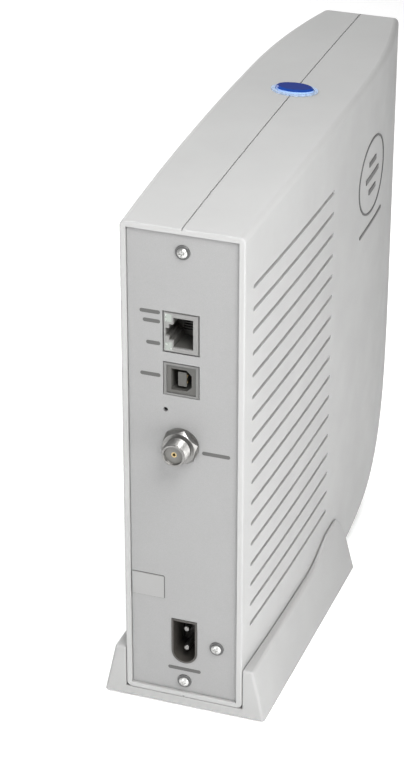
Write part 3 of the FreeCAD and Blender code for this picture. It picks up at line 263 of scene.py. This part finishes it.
def key_with_painted_highlight(slot):
    """The standby button: deep blue on its face, with a pale painted highlight on its sides and a faint
    painted glow.
    """
    painted_flank_highlight, edge = (0.30, 0.44, 0.72), (0.010, 0.055, 0.28)
    face, face_painted_top_sheen = (0.002, 0.012, 0.095), (0.003, 0.016, 0.13)
    f = Finish(slot, face, 0.24)
    # Colour by surface tilt: pale painted highlight on the sides, deep blue on the face, a little lighter
    # where it faces straight up.
    upward = f.add("ShaderNodeSeparateXYZ")
    f.link(f.add("ShaderNodeNewGeometry").outputs["Normal"], upward.inputs["Vector"])
    clouded = f.add("ShaderNodeMath", operation="MULTIPLY_ADD")
    cloud, weight, level = clouded.inputs
    f.link(f.noise(160, 3), cloud)
    weight.default_value = 0.08
    f.link(upward.outputs["Z"], level)
    stops = ((0.2, painted_flank_highlight), (0.65, edge), (0.86, face), (1.0, face_painted_top_sheen))
    colour = f.ramp(clouded.outputs["Value"], stops)
    f.link(colour, f.shader.inputs["Base Color"])
    # The same colour also glows faintly: a painted glow carrying the painted highlight, with no lamp in
    # the button.
    f.link(colour, f.shader.inputs["Emission Color"])
    f.set(Emission_Strength=0.12, Specular_IOR_Level=0.12)
    f.rough_from(f.noise(260, 3), 0.14, 0.24)


def solder_mask(slot):
    """Green solder mask over a pattern of tracks."""
    f = Finish(slot, (0.02, 0.12, 0.05), 0.35)
    tracks = f.add("ShaderNodeTexBrick")
    tracks.inputs["Scale"].default_value = 260
    tracks.inputs["Mortar Size"].default_value = 0.035
    tracks.inputs["Color1"].default_value = (0.010, 0.085, 0.032, 1)
    tracks.inputs["Color2"].default_value = (0.014, 0.110, 0.042, 1)
    tracks.inputs["Mortar"].default_value = (0.030, 0.190, 0.070, 1)
    f.link(f.mapped("Rotation", (0, math.radians(90), 0)), tracks.inputs["Vector"])
    f.link(tracks.outputs["Color"], f.shader.inputs["Base Color"])
    f.bump_from(tracks.outputs["Fac"], 0.3, TRACK_DEPTH)


def wound(slot, colour):
    """Close turns of enamelled wire, darker in the grooves as painted shade."""
    f = Finish(slot, colour, 0.3, 0.6)
    turns = f.add("ShaderNodeTexWave", bands_direction="Z")
    turns.inputs["Scale"].default_value = 420
    turns.inputs["Distortion"].default_value = 0.6
    f.link(f.place, turns.inputs["Vector"])
    # The grooves where the turns meet are darkened: painted shade.
    painted_groove_shade = tuple(c * 0.4 for c in colour)
    f.colour_from(turns.outputs["Fac"], ((0.1, painted_groove_shade), (0.8, colour)))
    f.bump_from(turns.outputs["Fac"], 0.6, WIRE_DEPTH)


def make_finishes():
    """One finish for each material slot, and one for the floor."""
    plastic("case_plastic", GREY, 0.58, shine=0.2)
    plastic("stand_plastic", (0.302, 0.302, 0.299), 0.58, shine=0.2)
    painted("panel_metal", (0.222, 0.222, 0.221), 0.42)
    plastic("label_plastic", (0.240, 0.240, 0.237), 0.4, grain=1500)
    metal("screw_steel", (0.55, 0.55, 0.54), 0.34, grain=900)
    metal("washer_black", (0.12, 0.12, 0.12), 0.45)
    plastic("jack_plastic", (0.165, 0.164, 0.160), 0.4, grain=1800)
    plastic("socket_plastic", (0.056, 0.055, 0.051), 0.45, grain=1800, spread=0.12)
    metal("socket_metal", (0.19, 0.19, 0.186), 0.44, along=(1, 1, 30), grain=160)
    metal("contact_metal", (0.50, 0.38, 0.19), 0.32, along=(1, 0.1, 1), grain=3000)
    metal("coax_metal", (0.23, 0.227, 0.220), 0.38, grain=700)
    plastic("insulator_plastic", (0.120, 0.118, 0.110), 0.4)
    plastic("inlet_plastic", (0.036, 0.033, 0.029), 0.4, grain=1600, spread=0.15)
    key_with_painted_highlight("button_blue")
    # The bezel's faint glow is painted light: a pale painted highlight round the button, with no lamp
    # behind it.
    clear("bezel_clear", (0.40, 0.50, 0.66), 0.28, glow=0.06)
    plastic("window_smoke", (0.030, 0.032, 0.036), 0.14, grain=400, relief=0.02, coat=0.25)
    clear("clear_plastic", (0.36, 0.39, 0.36), 0.25)
    clear("light_body", (0.30, 0.65, 0.26), 0.25, glow=0.3)
    solder_mask("board_green")
    plastic("chip_black", (0.030, 0.030, 0.030), 0.55, grain=2600, spread=0.1)
    metal("can_metal", (0.56, 0.56, 0.54), 0.36, along=(1, 0.06, 1), grain=900)
    metal("fin_metal", (0.66, 0.67, 0.69), 0.34, along=(1, 1, 0.04), grain=1800)
    plastic("ferrite", (0.045, 0.045, 0.050), 0.6, grain=1400, relief=0.4, spread=0.15)
    wound("winding_copper", (0.52, 0.21, 0.08))
    plastic("capacitor_sleeve", (0.020, 0.030, 0.075), 0.3, grain=500, coat=0.3)
    clear("fuse_glass", (0.80, 0.86, 0.86), 0.05)
    plastic("plug_plastic", (0.66, 0.63, 0.54), 0.4)
    plastic("lead_insulation", (0.34, 0.02, 0.02), 0.42, grain=800)
    metal("spring_steel", (0.46, 0.46, 0.46), 0.26, grain=2000)
    plastic("pad_rubber", (0.035, 0.035, 0.035), 0.8, grain=1200, relief=0.4, spread=0.12)
    plastic("badge_ink", (0.062, 0.062, 0.060), 0.5, grain=1500, relief=0.05)
    plastic("lit_sheet", (0.9, 0.9, 0.9), 0.8, grain=600, relief=0.02, spread=0.005, glow=FLOOR_GLOW)


def dress_nodes():
    """Gives every CAD node its slot's finish."""
    for part in frame["record"]["subparts"]:
        node = NODES[part["node"]]
        node.data.materials.clear()
        node.data.materials.append(FINISHES[part["material_slot"]])


# ---------------------------------------------------------------- building pieces
def skin(bm, rings, capped):
    """Joins rings of equally many points, and closes the ends or joins the last ring to the first."""
    loops = [[bm.verts.new(p) for p in ring] for ring in rings]
    pairs = list(zip(loops, loops[1:]))
    if not capped:
        pairs.append((loops[-1], loops[0]))
    for low, high in pairs:
        for i in range(len(low)):
            j = (i + 1) % len(low)
            bm.faces.new((low[i], low[j], high[j], high[i]))
    if capped:
        bm.faces.new(loops[0])
        bm.faces.new(loops[-1])


def piece(name, shells, slot, capped=True, smooth_angle=40):
    """Makes a piece of the housing from shells, each a list of rings of points, in a slot's finish."""
    bm = bmesh.new()
    for rings in shells:
        skin(bm, rings, capped)
    bmesh.ops.recalc_face_normals(bm, faces=bm.faces)
    mesh = bpy.data.meshes.new(name)
    bm.to_mesh(mesh)
    bm.free()
    mesh.materials.append(FINISHES[slot])
    mesh.shade_smooth()
    mesh.set_sharp_from_angle(angle=math.radians(smooth_angle))
    made = add_object(name, mesh)
    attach(made, HOUSING)
    return made


def middle(node):
    """The centre of a CAD node's box."""
    low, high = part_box(node)
    return tuple((a + b) / 2 for a, b in zip(low, high))


# ---------------------------------------------------------------- aerial connector
THREAD_PITCH = 0.794 * MM
THREAD_DEPTH = 0.42 * MM
THREAD_CREST = 4.76 * MM
THREAD_LEAD_IN = 0.8 * MM
MOUTH_TAPER = 0.4 * MM
MOUTH_LIP = 0.12 * MM
MOUTH_LIP_DEPTH = 0.15 * MM
BARREL_ROOT = 4.5 * MM
FLANGE_HALF = 6.5 * MM
FLANGE_THICKNESS = 2.0 * MM
RINGS_PER_TURN = 12
AROUND = 72
ANGLES = [math.tau * i / AROUND for i in range(AROUND)]


def thread_radius(depth, angle):
    """The threaded barrel's radius at a depth behind its mouth; the thread runs in over its first part."""
    phase = (depth / THREAD_PITCH + angle / math.tau) % 1
    wave = abs(2 * phase - 1)
    lead_in = min(depth / THREAD_LEAD_IN, 1)
    return THREAD_CREST - THREAD_DEPTH * wave * lead_in - MOUTH_TAPER * (1 - lead_in)


def aerial_connector():
    """The aerial connector's barrel, with its helical thread and its bore, and its square flange."""
    low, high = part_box("coax_body")
    axis_x, _, axis_z = middle("coax_body")
    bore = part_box("coax_insulator")[1].x - axis_x
    start, end = low.y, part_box("coax_nut")[0].y

    def ring(y, radii):
        """Points round the connector's axis at y, with one radius for each of ANGLES."""
        return [(axis_x + r * math.cos(a), y, axis_z + r * math.sin(a)) for r, a in zip(radii, ANGLES)]

    count = round((end - start) / THREAD_PITCH * RINGS_PER_TURN)
    rings = [ring(start, [bore + MOUTH_LIP] * AROUND)]
    for i in range(count + 1):
        y = start + (end - start) * i / count
        rings.append(ring(y, [thread_radius(y - start, a) for a in ANGLES]))
    root_radii, bore_radii = [BARREL_ROOT] * AROUND, [bore] * AROUND
    rings += [ring(end, root_radii), ring(high.y, root_radii)]
    rings += [ring(high.y, bore_radii), ring(start + MOUTH_LIP_DEPTH, bore_radii)]
    barrel = piece("aerial_barrel", [rings], "coax_metal", capped=False, smooth_angle=50)
    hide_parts("coax_body")

    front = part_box("port_panel")[1].y
    back = front + FLANGE_THICKNESS
    square_radii = [FLANGE_HALF / max(abs(math.cos(a)), abs(math.sin(a))) for a in ANGLES]
    plate = [ring(front, square_radii), ring(back, square_radii)]
    plate += [ring(back, root_radii), ring(front, root_radii)]
    piece("aerial_flange", [plate], "coax_metal", capped=False)


# ---------------------------------------------------------------- printed marks and painted shadow lines
MARK_HALF_HEIGHT = 0.75 * MM
MARK_THICKNESS = 0.06 * MM
MARK_PROFILE = ((0, 1), (0.7 * MARK_THICKNESS, 1), (MARK_THICKNESS, 0.85))
LABEL_SHADOW_HALF_WIDTH = 0.13 * MM
CORNER_STEPS = 6


def rounded_bar(x, y, z, half_x, half_z):
    """Rings of a thin raised bar with round ends, standing out of the panel towards -Y."""
    radius = min(half_x, half_z)
    outline = []
    for corner in range(4):
        across = (half_x - radius) * (1 if corner in (0, 3) else -1)
        up = (half_z - radius) * (1 if corner in (0, 1) else -1)
        for k in range(CORNER_STEPS + 1):
            a = math.pi / 2 * corner + math.pi / 2 * k / CORNER_STEPS
            outline.append((x + across + radius * math.cos(a), z + up + radius * math.sin(a)))
    rings = []
    for depth, share in MARK_PROFILE:
        rings.append([(x + (px - x) * share, y - depth, z + (pz - z) * share) for px, pz in outline])
    return rings


def port_marks_and_label_shadow():
    """Plain bars where the real panel has its port names, and thin dark lines at the top, bottom and right
    of the label plate as a painted shadow of its edge.
    """
    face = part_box("port_panel")[0].y
    jack_z = middle("jack_shield")[2]
    data_z = middle("data_shell")[2]
    coax_z = middle("coax_nut")[2]
    inlet_z = middle("inlet_pins")[2]
    left_of_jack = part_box("jack_shield")[0].x - 5.0 * MM
    right_of_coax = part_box("coax_nut")[1].x + 6.4 * MM

    # The bar for each port name: its x, its z and half its length
    names = [
        (left_of_jack, jack_z + 7.1 * MM, 3.9 * MM),
        (left_of_jack + 0.6 * MM, jack_z + 3.5 * MM, 3.3 * MM),
        (left_of_jack + 1.2 * MM, jack_z - 5.2 * MM, 2.7 * MM),
        (left_of_jack, data_z + 0.7 * MM, 3.9 * MM),
        (right_of_coax, coax_z - 1.8 * MM, 5.4 * MM),
        (0.0, inlet_z - 12.5 * MM, 6.6 * MM),
    ]
    label_low, label_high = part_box("label_plate")
    label_x, _, label_z = middle("label_plate")
    half_width, half_height = label_high.x - label_x, label_high.z - label_z
    # The last three bars are painted shadow: dark lines along the label plate's top, bottom and right
    # edges.
    bars = [(x, z, half_length, MARK_HALF_HEIGHT) for x, z, half_length in names] + [
        (label_x, label_high.z + LABEL_SHADOW_HALF_WIDTH, half_width, LABEL_SHADOW_HALF_WIDTH),
        (label_x, label_low.z - LABEL_SHADOW_HALF_WIDTH, half_width, LABEL_SHADOW_HALF_WIDTH),
        (label_high.x + LABEL_SHADOW_HALF_WIDTH, label_z, LABEL_SHADOW_HALF_WIDTH, half_height),
    ]
    shells = [rounded_bar(x, face, z, half_x, half_z) for x, z, half_x, half_z in bars]
    piece("port_marks_and_label_shadow", shells, "badge_ink")


# ---------------------------------------------------------------- status lights in the nose
LENS_COUNT = 6
LENS_HALF_WIDTH = 2.2 * MM
LENS_HALF_HEIGHT = 0.9 * MM
LENS_END_MARGIN = 1.5 * MM
LENS_AROUND = 32
LENS_PROFILE = ((1.0, -0.05 * MM), (0.93, 0.07 * MM), (0.7, 0.12 * MM), (0.35, 0.14 * MM))
IN_FRONT_OF_NOSE = 50 * MM


def lens(window, nose, z):
    """Rings of a small raised lens that follows the window's front; nose is the window's greatest y."""
    rings = []
    for share, rise in LENS_PROFILE:
        ring = []
        for k in range(LENS_AROUND):
            a = math.tau * k / LENS_AROUND
            x, up = LENS_HALF_WIDTH * share * math.cos(a), LENS_HALF_HEIGHT * share * math.sin(a)
            seen = window.ray_cast(Vector((x, nose + IN_FRONT_OF_NOSE, z + up)), Vector((0, -1, 0)))[0]
            ring.append(seen + Vector((0, rise, 0)))
        rings.append(ring)
    return rings


def nose_lights():
    """A raised lens on the smoked window in front of each status light."""
    window = BVHTree.FromObject(NODES["front_window"], bpy.context.evaluated_depsgraph_get())
    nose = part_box("front_window")[1].y
    low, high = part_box("status_lights")
    height = high.z - low.z - 2 * LENS_END_MARGIN
    for index in range(LENS_COUNT):
        z = low.z + LENS_END_MARGIN + height * index / (LENS_COUNT - 1)
        piece(f"nose_light_{index + 1}", [lens(window, nose, z)], "light_body", smooth_angle=60)


make_finishes()
make_camera()
make_sky()
make_floor()
make_lights()
dress_nodes()
aerial_connector()
port_marks_and_label_shadow()
nose_lights()
